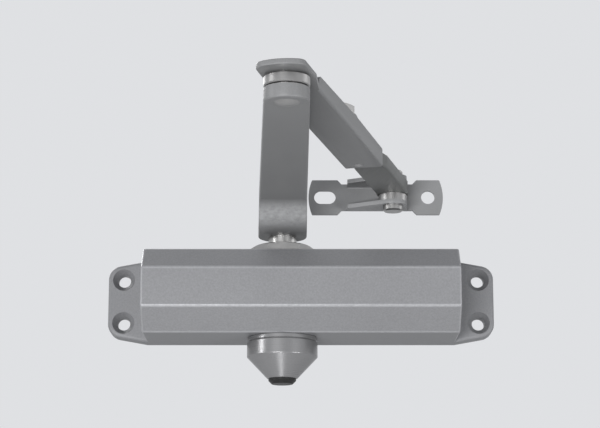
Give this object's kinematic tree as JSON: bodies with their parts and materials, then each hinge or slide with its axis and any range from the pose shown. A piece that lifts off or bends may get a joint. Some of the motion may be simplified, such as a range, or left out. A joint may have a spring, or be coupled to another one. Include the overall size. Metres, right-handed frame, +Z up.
{
  "type": "door closer",
  "caption": "Surface door closer with faceted cast body, rack-and-pinion spindle, tapering spindle cap, cranked main arm, length-adjustable forearm and screw-on shoe.",
  "frame": {"origin": "centre of the four body screw holes on the mounting face", "axes": "+X along the body to the end plug without valves, +Y into the door leaf (out of the mounting face), +Z up the spindle towards the arm"},
  "size_m": [0.1684, 0.2127, 0.096],
  "materials": {
    "casting": "fine silver-grey metallic paint",
    "arm_paint": "smooth silver paint",
    "plated_steel": "bright zinc plate",
    "turned_cap": "turned, bare",
    "black_plastic": "satin black",
    "steel": "ground, oiled",
    "bronze": "sintered bronze",
    "rubber": "black nitrile"
  },
  "bodies": {
    "closer_body": {"body_casting": "casting", "end_plug_left": "plated_steel", "end_plug_right": "plated_steel", "plug_seal_left": "rubber", "plug_seal_right": "rubber", "bearing_nut_upper": "plated_steel", "bearing_bush_upper": "bronze", "shaft_seal_upper": "rubber", "bearing_nut_lower": "plated_steel", "bearing_bush_lower": "bronze", "shaft_seal_lower": "rubber", "closing_spring": "steel", "cap_collar": "turned_cap", "spindle_cap": "turned_cap", "cap_plug": "black_plastic"},
    "closing_valve_screw": {"closing_valve": "plated_steel", "closing_valve_seal": "rubber"},
    "latching_valve_screw": {"latching_valve": "plated_steel", "latching_valve_seal": "rubber"},
    "spindle_arm": {"pinion_spindle": "steel", "main_arm": "arm_paint", "arm_washer": "plated_steel", "arm_screw": "plated_steel", "elbow_pin": "plated_steel", "elbow_spacer": "plated_steel", "elbow_nut": "plated_steel"},
    "piston": {"rack_piston": "steel", "check_ball": "steel", "ball_retainer": "steel"},
    "forearm": {"forearm_channel": "arm_paint", "clamp_stud": "plated_steel", "clamp_collar": "plated_steel", "clamp_nut": "plated_steel"},
    "rod": {"forearm_rod": "arm_paint"},
    "shoe": {"shoe_bracket": "arm_paint", "shoe_rivet": "plated_steel", "shoe_spacer_lower": "plated_steel", "shoe_spacer_upper": "plated_steel"}
  },
  "joints": [
    {"name": "spindle_turn", "type": "hinge", "parent": "closer_body", "child": "spindle_arm", "pos_m": [-0.008, -0.021, 0], "axis": [0, 0, 1], "range_deg": [0, 135], "stiffness_Nm_per_rad": 6, "springref_deg": -114.59},
    {"name": "piston_slide", "type": "slide", "parent": "closer_body", "child": "piston", "axis": [1, 0, 0], "range_m": [0, 0.0148], "deforming": ["closing_spring"]},
    {"name": "elbow_turn", "type": "hinge", "parent": "spindle_arm", "child": "forearm", "pos_m": [-0.00489, -0.19897, 0], "axis": [0, 0, -1], "range_deg": [-6, 150]},
    {"name": "forearm_slide", "type": "slide", "parent": "forearm", "child": "rod", "axis": [0.2368, 0.9715, 0], "range_m": [-0.003, 0.022]},
    {"name": "shoe_turn", "type": "hinge", "parent": "rod", "child": "shoe", "pos_m": [0.04034, -0.0134, 0], "axis": [0, 0, 1], "range_deg": [-90, 70]},
    {"name": "closing_valve_turn", "type": "hinge", "parent": "closer_body", "child": "closing_valve_screw", "pos_m": [-0.0662, -0.0395, 0.006], "axis": [1, 0, 0], "range_deg": [-180, 180]},
    {"name": "latching_valve_turn", "type": "hinge", "parent": "closer_body", "child": "latching_valve_screw", "pos_m": [-0.0662, -0.0395, -0.006], "axis": [1, 0, 0], "range_deg": [-180, 180]}
  ],
  "couplings": [
    {"joint": "piston_slide", "follows": "spindle_turn", "m_per_rad": 0.00625}
  ]
}
